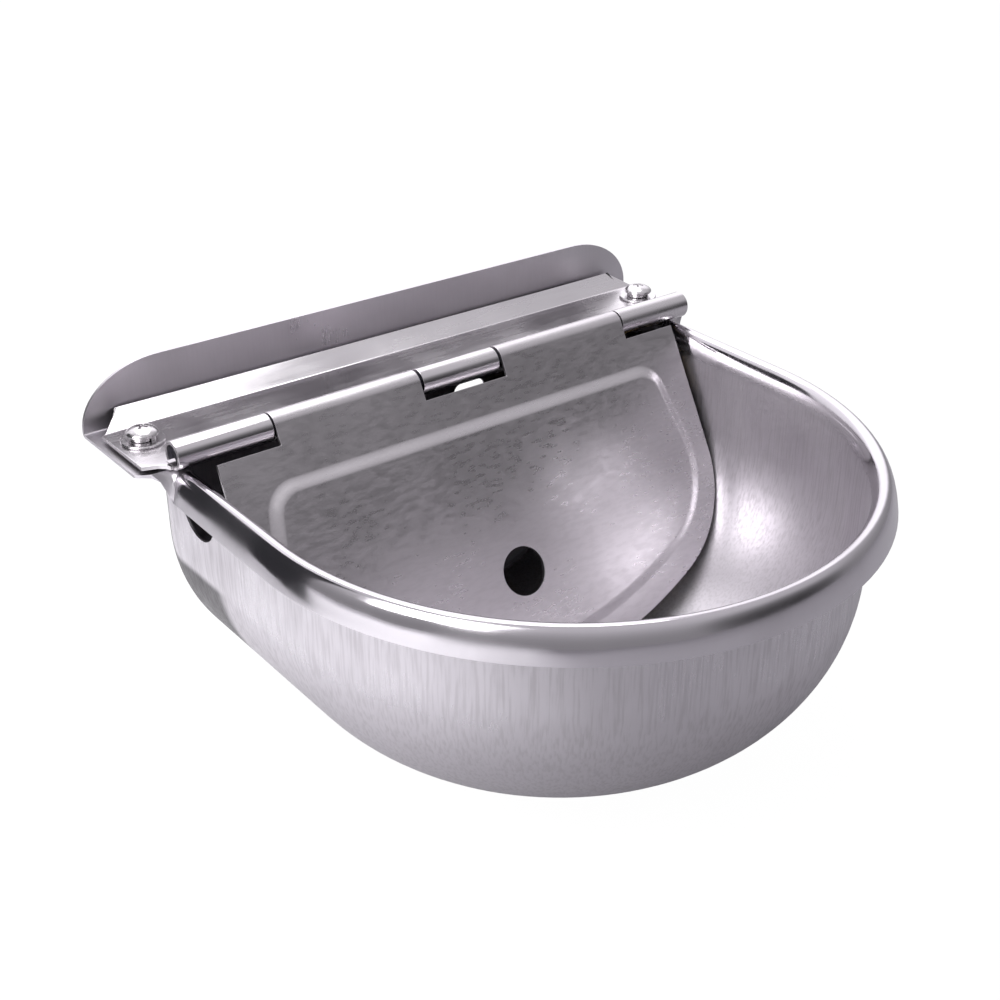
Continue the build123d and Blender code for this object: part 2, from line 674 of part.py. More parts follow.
def clamp_plane() -> Plane:
    """Plane on the rod's axis whose normal goes out along the clamp screw."""
    origin = (PIVOT_X - CLAMP_AT, INLET_Y, PIVOT_Z)
    return Plane(origin=origin, x_dir=(1, 0, 0), z_dir=(0, -1, 0))


def clamp_screw() -> Solid:
    """Thumb screw that holds the rod at the chosen water level."""
    plane = clamp_plane()
    radius, low, high = CLAMP_HEAD
    head = rod(radius, low, high, plane)
    places = knurl_points(plane, radius + 0.1)
    head -= [rod(CLAMP_GROOVE, low - 1, high + 1, plane.shift_origin(place)) for place in places]
    return let_down(head + rod(CLAMP_RADIUS, ROD_RADIUS + 0.02, low, plane))


def knurl_points(plane: Plane, radius: float) -> list:
    """Places of the grooves round the thumb screw's head."""
    turns = map(radians, range(0, 360, 36))
    return [plane.from_local_coords((radius * cos(a), radius * sin(a), 0)) for a in turns]


def float_rod() -> Solid:
    """Straight rod from the lever into the float."""
    return let_down(rod(ROD_RADIUS, ROD_FROM + FIT, FLOAT_FROM + FLOAT_BORE, along_arm(0)))


def float_locknut() -> Solid:
    """Nut that locks the rod against the float."""
    flats, width = ARM_NUT
    nut = hexagon(flats, FLOAT_FROM - width, FLOAT_FROM, along_arm(0))
    bore = rod(ROD_RADIUS + FIT, FLOAT_FROM - width - 1, FLOAT_FROM + 1, along_arm(0))
    return let_down(nut - bore)


def valve_float() -> Solid:
    """Rounded float with a boss for the rod."""
    length, depth, height = FLOAT_SIZE
    centre = Pos(PIVOT_X - FLOAT_FROM - length / 2 - FLOAT_INSET, FLOAT_Y, PIVOT_Z)
    body = Box(length - 2 * FLOAT_INSET, depth, height)
    body = centre * fillet(body.edges(), FLOAT_ROUND)
    body += rod(FLOAT_BOSS[0], FLOAT_FROM, FLOAT_FROM + FLOAT_BOSS[1], along_arm(0))
    bore = rod(ROD_RADIUS + FIT, FLOAT_FROM - 1, FLOAT_FROM + FLOAT_BORE + FIT, along_arm(0))
    return let_down(body - bore)


def pivot_pin() -> Solid:
    """Headed pin that the lever turns on."""
    depth, groove_from, groove_to = PIVOT_GROOVE
    head_radius, head = PIVOT_HEAD
    pin = rod(PIVOT_RADIUS, -EAR_OUTER, EAR_OUTER + PIVOT_TAIL, PIVOT_PLANE)
    root = PIVOT_RADIUS - depth
    pin -= ring(CLIP_RADIUS, root, EAR_OUTER + groove_from, EAR_OUTER + groove_to, PIVOT_PLANE)
    return pin + rod(head_radius, -EAR_OUTER - head, -EAR_OUTER, PIVOT_PLANE)


def pivot_clip() -> Solid:
    """Open spring clip in the pin's groove."""
    depth, low, high = PIVOT_GROOVE
    clip = ring(CLIP_RADIUS, PIVOT_RADIUS - depth, EAR_OUTER + low, EAR_OUTER + high, PIVOT_PLANE)
    mouth = PIVOT_PLANE.offset(EAR_OUTER) * Pos(0, CLIP_RADIUS, 0) * Box(CLIP_MOUTH, 5, 4)
    return clip - mouth


PIECES = {
    "drinking_bowl": drinking_bowl,
    "hinge_bracket": hinge_bracket,
    "hinge_pin": hinge_pin,
    "guard_cover": guard_cover,
    "bracket_screws": bracket_screws,
    "lock_washers": lock_washers,
    "flat_washers": flat_washers,
    "bracket_nuts": bracket_nuts,
    "sealing_washer": sealing_washer,
    "backing_washer": backing_washer,
    "inlet_locknut": inlet_locknut,
    "valve_body": valve_body,
    "valve_end_cap": valve_end_cap,
    "valve_nozzle": valve_nozzle,
    "inlet_strainer": inlet_strainer,
    "valve_piston": valve_piston,
    "piston_seal": piston_seal,
    "pivot_pin": pivot_pin,
    "pivot_clip": pivot_clip,
    "float_lever": float_lever,
    "clamp_screw": clamp_screw,
    "float_rod": float_rod,
    "float_locknut": float_locknut,
    "valve_float": valve_float,
}


def main() -> None:
    """Builds every piece and writes one file for each."""
    os.makedirs("parts", exist_ok=True)
    for name, build in PIECES.items():
        shape = build()
        export_step(shape, f"parts/{name}.step")
        print(name, len(shape.solids()), round(sum(s.volume for s in shape.solids())))


main()
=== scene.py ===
"""Livestock drinking bowl: a pressed steel bowl with a hinged guard and a float valve.

The sheet pieces, screws and washers are modelled here in millimetres and end in metres. The
other pieces come from the frame and are given their finishes.
"""

import json
from dataclasses import dataclass
from enum import Enum
from math import atan2, copysign, cos, degrees, hypot, inf, pi, radians, sin, sqrt
from typing import Callable

import bmesh
import bpy
from mathutils import Matrix, Vector
from mathutils.geometry import interpolate_bezier

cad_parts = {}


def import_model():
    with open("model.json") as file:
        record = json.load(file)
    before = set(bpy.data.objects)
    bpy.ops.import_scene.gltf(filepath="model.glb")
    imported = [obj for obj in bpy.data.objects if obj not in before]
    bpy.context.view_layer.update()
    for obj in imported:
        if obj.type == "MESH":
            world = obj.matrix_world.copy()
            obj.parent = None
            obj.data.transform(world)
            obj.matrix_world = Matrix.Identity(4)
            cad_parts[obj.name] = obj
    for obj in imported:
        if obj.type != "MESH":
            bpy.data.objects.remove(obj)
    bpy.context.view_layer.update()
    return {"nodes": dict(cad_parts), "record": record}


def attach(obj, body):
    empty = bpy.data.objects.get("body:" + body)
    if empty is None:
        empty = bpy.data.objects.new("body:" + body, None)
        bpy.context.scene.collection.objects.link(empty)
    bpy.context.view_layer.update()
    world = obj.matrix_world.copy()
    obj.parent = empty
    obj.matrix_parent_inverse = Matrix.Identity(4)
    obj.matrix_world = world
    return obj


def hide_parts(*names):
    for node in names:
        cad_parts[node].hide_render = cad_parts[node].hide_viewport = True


MM = 0.001
TOUCH = 0.01
ORIGIN = (0, 0, 0)
UP = (0, 0, 1)
SHEET_SHARP = 32.0
CAD_SHARP = 28.0
Test = Callable[[Vector], bool]
Piece = bpy.types.Object
Span = tuple[float, float]
Triple = tuple[float, float, float]


class Kind(Enum):
    """What a selection in edit mode picks."""

    VERTS = "vertices"
    EDGES = "edges"
    OPEN_EDGES = "open edges"


def near(value: float, target: float) -> bool:
    """Whether two lengths in millimetres are as good as the same."""
    return abs(value - target) < TOUCH


def smooth(share: float) -> float:
    """Share from 0 to 1, eased at both ends and held there."""
    share = min(1.0, max(0.0, share))
    return share * share * (3 - 2 * share)


class Skin:
    """One face of a sheet-metal piece, drawn in edit mode from a single point.

    All its places and sizes are in millimetres until it is finished. The methods that draw or
    select return the skin itself, so that they can follow each other in a line.
    """

    def __init__(self, name: str, start: Triple) -> None:
        """Starts the named piece at one point."""
        bpy.ops.mesh.primitive_plane_add(size=1, location=ORIGIN)
        self.piece = bpy.context.object
        self.piece.name = name
        self.piece.data.name = name
        bpy.ops.object.mode_set(mode="EDIT")
        bpy.ops.mesh.select_mode(type="VERT")
        self.whole()
        bpy.ops.mesh.merge(type="CENTER")
        bpy.ops.transform.translate(value=start)

    def mesh(self) -> bmesh.types.BMesh:
        """The mesh as it stands in edit mode."""
        return bmesh.from_edit_mesh(self.piece.data)

    def refresh(self) -> "Skin":
        """Takes up what was changed in the mesh directly."""
        bmesh.update_edit_mesh(self.piece.data)
        return self

    def whole(self) -> "Skin":
        """Selects everything."""
        bpy.ops.mesh.select_all(action="SELECT")
        return self

    def tip(self) -> Vector:
        """Place of the first selected point."""
        return next(v.co.copy() for v in self.mesh().verts if v.select)

    def pick(self, test: Test, kind: Kind = Kind.OPEN_EDGES) -> "Skin":
        """Selects what passes a test and nothing else.

        Args:
            test: Takes a vertex's place, or the ends of an edge one by one.
            kind: What to select.
        """
        bpy.ops.mesh.select_mode(type="VERT" if kind is Kind.VERTS else "EDGE")
        bpy.ops.mesh.select_all(action="DESELECT")
        mesh = self.mesh()
        for item in mesh.verts if kind is Kind.VERTS else mesh.edges:
            ends = [item] if kind is Kind.VERTS else item.verts
            good = all(test(end.co) for end in ends)
            if good and kind is Kind.OPEN_EDGES:
                good = item.is_boundary or item.is_wire
            item.select_set(good)
        return self.refresh()

    def pick_line(self, y: float, low: float = -inf, high: float = inf) -> "Skin":
        """Selects the open edges on a line that runs across, or on one length of it."""
        return self.pick(lambda v: near(v.y, y) and low - TOUCH < v.x < high + TOUCH)

    def run(self, way: Triple, steps: int = 1) -> "Skin":
        """Extrudes the selection the whole way along a straight line, in equal steps."""
        part = Vector(way) / steps
        for _ in range(steps):
            bpy.ops.mesh.extrude_region_move(TRANSFORM_OT_translate={"value": part})
        return self

    def turn(self, centre: Triple, axis: Triple, angle: float, steps: int) -> "Skin":
        """Spins the selection round an axis, in degrees by the right-hand rule."""
        bpy.ops.mesh.spin(steps=steps, angle=-radians(angle), center=centre, axis=axis)
        return self

    def merge(self, distance: float = TOUCH) -> "Skin":
        """Joins points that lie on each other."""
        self.whole()
        bpy.ops.mesh.remove_doubles(threshold=distance)
        return self

    def both_halves(self) -> "Skin":
        """Mirrors the right half of the drawing onto the left."""
        self.whole()
        bpy.ops.mesh.symmetrize(direction="POSITIVE_X")
        return self.merge()

    def fill(self) -> "Skin":
        """Makes one face from the selected edges."""
        bpy.ops.mesh.edge_face_add()
        return self

    def span(self) -> "Skin":
        """Fills the flat region between the selected loops."""
        bpy.ops.mesh.fill(use_beauty=True)
        return self

    def upward(self) -> "Skin":
        """Turns all faces one way, so that the widest level face looks up."""
        self.whole()
        bpy.ops.mesh.normals_make_consistent(inside=False)
        mesh = self.mesh()
        lead = max(mesh.faces, key=lambda face: face.calc_area() * abs(face.normal.z))
        if lead.normal.z < 0:
            bpy.ops.mesh.flip_normals()
        return self

    def finish(self, place: Matrix = Matrix.Identity(4)) -> Piece:
        """Leaves edit mode and brings the piece to its place, still in millimetres."""
        bpy.ops.object.mode_set(mode="OBJECT")
        self.piece.matrix_world = place
        bpy.ops.object.transform_apply()
        return self.piece


def choose(piece: Piece) -> None:
    """Makes a piece the active one and the only one selected."""
    bpy.ops.object.select_all(action="DESELECT")
    piece.select_set(True)
    bpy.context.view_layer.objects.active = piece


def apply_modifier(piece: Piece, kind: str, **settings: object) -> None:
    """Adds a modifier with its settings to a piece and applies it."""
    choose(piece)
    modifier = piece.modifiers.new(kind.title(), kind)
    for name, value in settings.items():
        setattr(modifier, name, value)
    bpy.ops.object.modifier_apply(modifier=modifier.name)


def break_edges(piece: Piece, width: float, angle: float) -> None:
    """Bevels the edges that are sharper than an angle in degrees."""
    limit = {"limit_method": "ANGLE", "angle_limit": radians(angle)}
    apply_modifier(piece, "BEVEL", width=width, segments=2, **limit)


def to_metres(piece: Piece) -> Piece:
    """Scales a finished piece from millimetres to metres and smooths its shading."""
    choose(piece)
    piece.scale = (MM, MM, MM)
    bpy.ops.object.transform_apply()
    bpy.ops.object.shade_smooth_by_angle(angle=radians(SHEET_SHARP))
    apply_modifier(piece, "WEIGHTED_NORMAL", keep_sharp=True, weight=80)
    return piece


def cut(piece: Piece, tool: Piece) -> None:
    """Cuts one closed piece with another and throws the tool away."""
    apply_modifier(piece, "BOOLEAN", operation="DIFFERENCE", object=tool, solver="EXACT")
    bpy.data.objects.remove(tool)


def drill(place: Triple, axis: Triple, radius: float, length: float) -> Piece:
    """A round bar to cut with, its middle at a place."""
    turn = Vector(UP).rotation_difference(Vector(axis)).to_euler()
    bpy.ops.mesh.primitive_cylinder_add(
        vertices=48, radius=radius, depth=length, location=place, rotation=turn
    )
    bpy.ops.object.transform_apply()
    return bpy.context.object


@dataclass
class SheetPiece:
    """A piece of bent sheet: one drawn face, given its thickness, in millimetres."""

    sheet: float = 1.5
    grows: int = -1
    edge_width: float = 0.25
    edge_angle: float = 60.0

    def draw(self) -> Skin:
        """Draws the face."""
        raise NotImplementedError

    def place(self) -> Matrix:
        """From the drawing to the object's frame."""
        return Matrix.Identity(4)

    def cuts(self, piece: Piece) -> None:
        """Cuts the holes that aren't drawn."""

    def make(self) -> Piece:
        """Models the piece and gives it in metres."""
        piece = self.draw().merge().upward().finish(self.place())
        growth = {"thickness": self.sheet, "offset": self.grows, "use_even_offset": True}
        apply_modifier(piece, "SOLIDIFY", **growth)
        break_edges(piece, self.edge_width, self.edge_angle)
        self.cuts(piece)
        return to_metres(piece)


@dataclass
class BowlShell(SheetPiece):
    """The pressed bowl: basin, rolled rim, flange and wall plate."""

    sheet: float = 1.2
    plate_half: float = 137.0
    plate_top: float = 25.0
    plate_corner: Span = (33.0, 24.0)
    plate_bend: float = 0.8
    rim_half: float = 126.0
    inner_half: float = 116.0
    rim_rise: float = 9.0
    crest_out: float = 4.6
    rim_bow: Triple = (2.8, 5.0, 1.0)
    rim_reach: float = 10.4
    rim_drop: float = 12.0
    rim_fall: float = 4.0
    fall_depth: float = 50.0
    nose_y: float = -115.0
    hinge_y: float = -51.0
    ear_y: float = -40.2
    ear_lift: Span = (1.35, 2.6)
    rear_y: float = -8.0
    bottom: float = -122.0
    corner_radius: float = 72.0
    floor_radius: float = 168.9
    rear_radius: float = 21.0
    draw_radius: float = 3.0
    rim_steps: int = 6
    skirt_steps: int = 11
    slot: tuple[float, float, float, float] = (38.5, -26.0, 17.0, 8.5)
    inlet: Triple = (-44.5, -32.0, 11.0)
    overflow: Triple = (-50.3, -18.3, 12.0)
    tool_length: float = 10.0

    def __post_init__(self) -> None:
        """Works out the inner face of the rear wall, its round and the flange's rear edge."""
        self.rear = self.rear_y - self.sheet
        self.rear_round = self.rear_radius - self.sheet
        self.flange_edge = -self.sheet - self.plate_bend

    def half_profile(self, skin: Skin) -> None:
        """Draws the right half of the section from the floor to the skirt's edge."""
        corner_x = self.inner_half + self.sheet - self.corner_radius
        floor_z = self.bottom + self.floor_radius
        reach = self.floor_radius - self.corner_radius
        lean = degrees(atan2(corner_x, sqrt(reach**2 - corner_x**2)))
        corner_z = floor_z - sqrt(reach**2 - corner_x**2)
        skin.turn((0, self.nose_y, floor_z), (0, -1, 0), lean, 16)
        skin.turn((corner_x, self.nose_y, corner_z), (0, -1, 0), 90 - lean, 20)
        skin.run((0, 0, -self.rim_rise - corner_z), 4)
        here = (0.0, -self.rim_rise)
        for place in self.rim_levels():
            skin.run((place[0] - here[0], 0, place[1] - here[1]))
            here = place

    def rim_levels(self) -> list[Span]:
        """Distance out from the wall and height of each loop of the rolled rim."""
        turns = [pi / 2 * i / self.rim_steps for i in range(1, self.rim_steps + 1)]
        across, up = self.crest_out, self.rim_rise
        rim = [(across - across * cos(a), up * sin(a) - up) for a in turns]
        bow, sag, flare = self.rim_bow
        crest = Vector((across, 0))
        edge = Vector((self.rim_reach, -self.rim_drop))
        handles = (crest + Vector((bow, 0)), edge + Vector((-flare, self.rim_drop - sag)))
        skirt = interpolate_bezier(crest, *handles, edge, self.skirt_steps + 1)
        return rim + [(place[0], place[1]) for place in skirt[1:]]

    def flange_levels(self, reach: float) -> list[Span]:
        """Distance out and height of each loop of the flange, as many as the rim has.

        Args:
            reach: How far the flange goes out from the wall.

        Returns:
            The loops from the wall out.
        """
        rise, bend = 2, 6
        flat = self.rim_steps + self.skirt_steps - rise - bend
        straight = self.rim_rise - self.draw_radius
        levels = [(0.0, -self.rim_rise + straight * i / rise) for i in range(1, rise + 1)]
        round_off = self.draw_radius
        for angle in (pi / 2 * i / bend for i in range(1, bend + 1)):
            levels.append((round_off - round_off * cos(angle), -round_off + round_off * sin(angle)))
        return levels + [(round_off + (reach - round_off) * i / flat, 0.0) for i in range(1, flat + 1)]

    def outward(self, place: Vector) -> tuple[Vector, float]:
        """Direction out of the basin's mouth at a point on it, and the flange's reach there.

        Args:
            place: A point on the mouth, behind the rolled rim.

        Returns:
            The level direction and the distance to the flange's outline.
        """
        side = copysign(1, place.x)
        inner = self.inner_half
        radius = self.rear_round
        centre = Vector((side * (inner - radius), self.rear - radius, 0))
        if place.y < centre.y + TOUCH:
            return Vector((side, 0, 0)), self.plate_half - inner
        if abs(place.x) < inner - radius + TOUCH:
            return Vector((0, 1, 0)), self.flange_edge - self.rear
        way = Vector((place.x, place.y, 0)) - centre
        way.normalize()
        across = (self.plate_half - abs(centre.x)) / abs(way.x)
        return way, min(across, (self.flange_edge - centre.y) / way.y) - radius

    def rolled_mouth(self, skin: Skin) -> None:
        """Draws the mouth behind the rolled rim, turning from rim to flange."""
        skin.pick(lambda v: near(v.z, -self.rim_rise) and v.y > self.hinge_y - TOUCH)
        base = {self.key(v.co): v.co.copy() for v in skin.mesh().verts if v.select}
        rim = self.rim_levels()
        corner = self.corner_base(list(base.values()))
        for step in range(len(rim)):
            skin.run(ORIGIN)
            moved = {}
            for vert in skin.mesh().verts:
                if vert.select:
                    start = base[self.key(vert.co)]
                    vert.co = self.mouth_point(start, step, rim, corner)
                    moved[self.key(vert.co)] = start
            base = moved
            skin.refresh()

    @staticmethod
    def key(place: Vector) -> tuple[int, int, int]:
        """A place in hundredths of a millimetre, to find a point again."""
        return round(place.x * 100), round(place.y * 100), round(place.z * 100)

    def corner_base(self, points: list[Vector]) -> set:
        """Keys of the two mouth points from which the flange's square corners are drawn."""
        x, y = self.inner_half - self.rear_round, self.rear - self.rear_round
        aim = atan2(self.flange_edge - y, self.plate_half - x)
        keys = set()
        for side in (-1, 1):
            bend = [p for p in points if p.x * side > x and p.y > y]
            best = min(bend, key=lambda p: abs(atan2(p.y - y, abs(p.x) - x) - aim))
            keys.add(self.key(best))
        return keys

    def mouth_point(self, start: Vector, step: int, rim: list[Span], corner: set) -> Vector:
        """Place of one point of the mouth's loops.

        Args:
            start: The point of the mouth's first loop below it.
            step: Which loop it is on.
            rim: The rolled rim's loops.
            corner: The mouth points that the flange's corners are drawn from.

        Returns:
            The place.
        """
        way, reach = self.outward(start)
        flange = self.flange_levels(reach)
        along = 1.0
        if way.y < TOUCH:
            along = (start.y - self.hinge_y) / (self.ear_y - self.hinge_y)
        wide, flat = (smooth(along * lift) for lift in self.ear_lift)
        out = rim[step][0] * (1 - wide) + flange[step][0] * wide
        height = rim[step][1] * (1 - flat) + flange[step][1] * flat
        foot = Vector((start.x, start.y, 0))
        point = foot + way * out
        if self.key(start) in corner and out > self.draw_radius + TOUCH:
            begin = foot + way * self.draw_radius
            end = Vector((copysign(self.plate_half, start.x), self.flange_edge, 0))
            point = begin.lerp(end, (out - self.draw_radius) / (reach - self.draw_radius))
        return Vector((point.x, point.y, height))

    def basin(self, skin: Skin) -> None:
        """Draws the basin and the rolled rim from the half section."""
        self.half_profile(skin)
        skin.whole().turn((0, self.nose_y, 0), (0, 0, -1), 180, 64)
        skin.pick_line(self.nose_y).run((0, self.hinge_y - self.nose_y, 0), 4).merge()
        low = -self.rim_rise + TOUCH
        inner = self.inner_half + TOUCH
        skin.pick(lambda v: near(v.y, self.hinge_y) and v.z < low and abs(v.x) < inner)
        turn_y = self.rear - self.rear_round
        skin.run((0, self.ear_y - self.hinge_y, 0), 8)
        skin.run((0, turn_y - self.ear_y, 0), 2)
        skin.run((0, self.rear - turn_y, 0)).merge()
        skin.pick_line(self.rear).fill()
        skin.pick(lambda v: near(v.y, self.rear), Kind.EDGES)
        self.drop_level_edge(skin)
        bpy.ops.mesh.bevel(offset=self.rear_round, segments=14)

    def drop_level_edge(self, skin: Skin) -> None:
        """Takes the top edge of the rear wall out of the selection."""
        for edge in skin.mesh().edges:
            if edge.select and edge.calc_length() > self.inner_half:
                edge.select_set(False)
        skin.refresh()

    def let_fall(self, skin: Skin) -> None:
        """Lets the rim fall evenly from the hinge to the nose."""
        length = self.hinge_y - self.nose_y + self.rim_half
        depth = self.fall_depth
        for vert in skin.mesh().verts:
            along = max(0.0, (self.hinge_y - vert.co.y) / length)
            share = smooth((vert.co.z + depth) / (depth - self.rim_drop))
            vert.co.z -= self.rim_fall * along * share
        skin.refresh()

    def plate(self, skin: Skin) -> None:
        """Draws the wall plate up from the flange's rear edge."""
        edge = self.flange_edge
        skin.pick(lambda v: near(v.y, edge) and near(v.z, 0))
        skin.turn((0, edge, self.plate_bend), (1, 0, 0), 90, 5)
        rx, rz = self.plate_corner
        skin.run((0, 0, self.plate_top - rz - self.plate_bend))
        steps = 16
        for step in range(1, steps + 1):
            angle = pi / 2 * step / steps
            skin.run((0, 0, rz * (sin(angle) - sin(angle - pi / 2 / steps))))
            self.draw_in(skin, self.plate_half - rx + rx * cos(angle))

    def draw_in(self, skin: Skin, half: float) -> None:
        """Moves the selected points at the plate's two ends in to a new half width."""
        for vert in skin.mesh().verts:
            if vert.select and abs(vert.co.x) > half:
                vert.co.x = copysign(half, vert.co.x)
        skin.refresh()

    def cuts(self, piece: Piece) -> None:
        """Cuts the inlet, the overflow hole and the two wall slots."""
        for side, (y, z, radius) in ((1, self.inlet), (-1, self.overflow)):
            cut(piece, drill((side * self.inner_half, y, z), (1, 0, 0), radius, self.tool_length))
        for side in (-1, 1):
            cut(piece, self.slot_tool(side))

    def slot_tool(self, side: int) -> Piece:
        """A flat bar with round ends to cut one slot with."""
        x, z, length, height = self.slot
        tool = drill((side * x, self.rear_y, z), (0, 1, 0), height / 2, self.tool_length)
        reach = (length - height) / 2
        for vert in tool.data.vertices:
            vert.co.x += reach if vert.co.x > side * x else -reach
        return tool

    def draw(self) -> Skin:
        """Draws the bowl's inner and upper face."""
        skin = Skin("pressed_bowl", (0, self.nose_y, self.bottom + self.sheet))
        self.basin(skin)
        self.rolled_mouth(skin)
        skin.merge()
        self.plate(skin)
        self.let_fall(skin)
        return skin


@dataclass
class HingeSheet(SheetPiece):
    """A sheet whose knuckles are rolled round the hinge pin."""

    barrel: float = 5.6
    hinge: Span = (-51.0, 7.0)
    roll: float = 310.0
    roll_steps: int = 44

    def roll_knuckle(self, skin: Skin, centre: Triple) -> None:
        """Rolls the selected edges round the pin."""
        skin.turn(centre, (-1, 0, 0), self.roll, self.roll_steps)


@dataclass
class GuardCover(HingeSheet):
    """The hinged guard: sheet, raised panel, eye and two knuckles.

    It is drawn flat. An s is a distance down the sheet from the hinge.
    """

    edge_width: float = 0.22
    roll: float = 302.0
    roll_steps: int = 40
    lean: float = 27.6
    top_s: float = 7.8
    top_half: float = 112.0
    corner: Triple = (63.5, 66.0, 50.0)
    floor_s: float = -70.2
    panel_corner: Triple = (64.2, 64.0, 38.0)
    panel_top: float = 23.0
    panel_tilt: float = 12.0
    panel_round: float = 11.0
    panel_height: float = 1.7
    ramp: float = 6.0
    ramp_steps: int = 8
    eye: Span = (84.8, 10.0)
    knuckle: Span = (20.1, 85.5)

    def arcs(self, skin: Skin, corner: Triple, tilt: float) -> None:
        """Draws the floor arc and the corner arc of an outline's right half.

        Args:
            skin: The drawing, with the outline's lowest point selected.
            corner: Across, down and radius of the corner arc.
            tilt: How far past upright the corner arc goes on, in degrees.
        """
        x, s, _ = corner
        lean = degrees(atan2(x, s - self.floor_s))
        skin.turn((0, -self.floor_s, 0), UP, lean, 20)
        skin.turn((x, -s, 0), UP, 90 - lean + tilt, 20)

    def bottom_s(self, corner: Triple, grow: float) -> float:
        """How far down an outline reaches on the centre line."""
        x, s, radius = corner
        return self.floor_s + hypot(x, s - self.floor_s) + radius + grow

    def close_top(self, skin: Skin, start: float) -> None:
        """Draws the level top edge in to the middle and mirrors the outline."""
        skin.run((self.knuckle[0] - start, 0, 0)).run((-self.knuckle[0], 0, 0)).both_halves()

    def raised_panel(self) -> Skin:
        """Draws the panel's outline, lifts it by a smooth ramp and opens the eye."""
        grow = self.ramp / 2
        skin = Skin("guard_sheet", (0, -self.bottom_s(self.panel_corner, grow), 0))
        self.arcs(skin, self.panel_corner, self.panel_tilt)
        here = skin.tip()
        radius = self.panel_round + grow
        tilt = radians(self.panel_tilt)
        top = grow - self.panel_top
        shoulder_x = here.x - (top - here.y) * sin(tilt) / cos(tilt)
        back = radius * (1 - sin(tilt)) / cos(tilt)
        centre = Vector((shoulder_x - back, top - radius, 0))
        touch = centre + Vector((cos(tilt), sin(tilt), 0)) * radius
        skin.run(touch - here).turn(centre, UP, 90 - self.panel_tilt, 12)
        self.close_top(skin, skin.tip().x)
        skin.pick(lambda v: True).fill().upward()
        height = 0.0
        for step in range(1, self.ramp_steps + 1):
            now = self.panel_height * smooth(step / self.ramp_steps)
            inward = self.ramp / self.ramp_steps
            bpy.ops.mesh.inset(thickness=inward, depth=now - height, use_boundary=True)
            height = now
        bpy.ops.mesh.delete(type="ONLY_FACE")
        self.open_eye(skin)
        return skin

    def open_eye(self, skin: Skin) -> None:
        """Spans the panel's crown from the ramp to the round eye."""
        s, radius = self.eye
        level = self.panel_height
        bpy.ops.mesh.primitive_circle_add(vertices=96, radius=radius, location=(0, -s, level))
        skin.pick(lambda v: near(v.z, level)).span()

    def border(self, skin: Skin) -> None:
        """Draws the cover's outline and spans the flat border between it and the panel."""
        inner = -self.bottom_s(self.panel_corner, self.ramp / 2)
        skin.pick(lambda v: near(v.x, 0) and near(v.y, inner), Kind.VERTS)
        drop = -self.bottom_s(self.corner, 0) - inner
        bpy.ops.mesh.duplicate_move(TRANSFORM_OT_translate={"value": (0, drop, 0)})
        self.arcs(skin, self.corner, 0)
        side = self.corner[0] + self.corner[2]
        skin.run((self.top_half - side, self.corner[1] - self.top_s, 0), 7)
        skin.run((self.knuckle[1] - self.top_half, 0, 0), 6)
        self.close_top(skin, self.knuckle[1])
        skin.pick(lambda v: near(v.z, 0)).span()

    def draw(self) -> Skin:
        """Draws the cover's front face with its knuckles."""
        skin = self.raised_panel()
        self.border(skin)
        low, high = self.knuckle
        for ends in ((low, high), (-high, -low)):
            skin.pick_line(-self.top_s, *ends).run((0, self.top_s, 0))
            self.roll_knuckle(skin, (0, 0, -self.barrel))
        return skin

    def place(self) -> Matrix:
        """From the drawing, with its front at the barrel's tangent, to the object's frame."""
        lift = Matrix.Translation((0, 0, self.barrel))
        lean = Matrix.Rotation(radians(90 - self.lean), 4, "X")
        return Matrix.Translation((0, *self.hinge)) @ lean @ lift


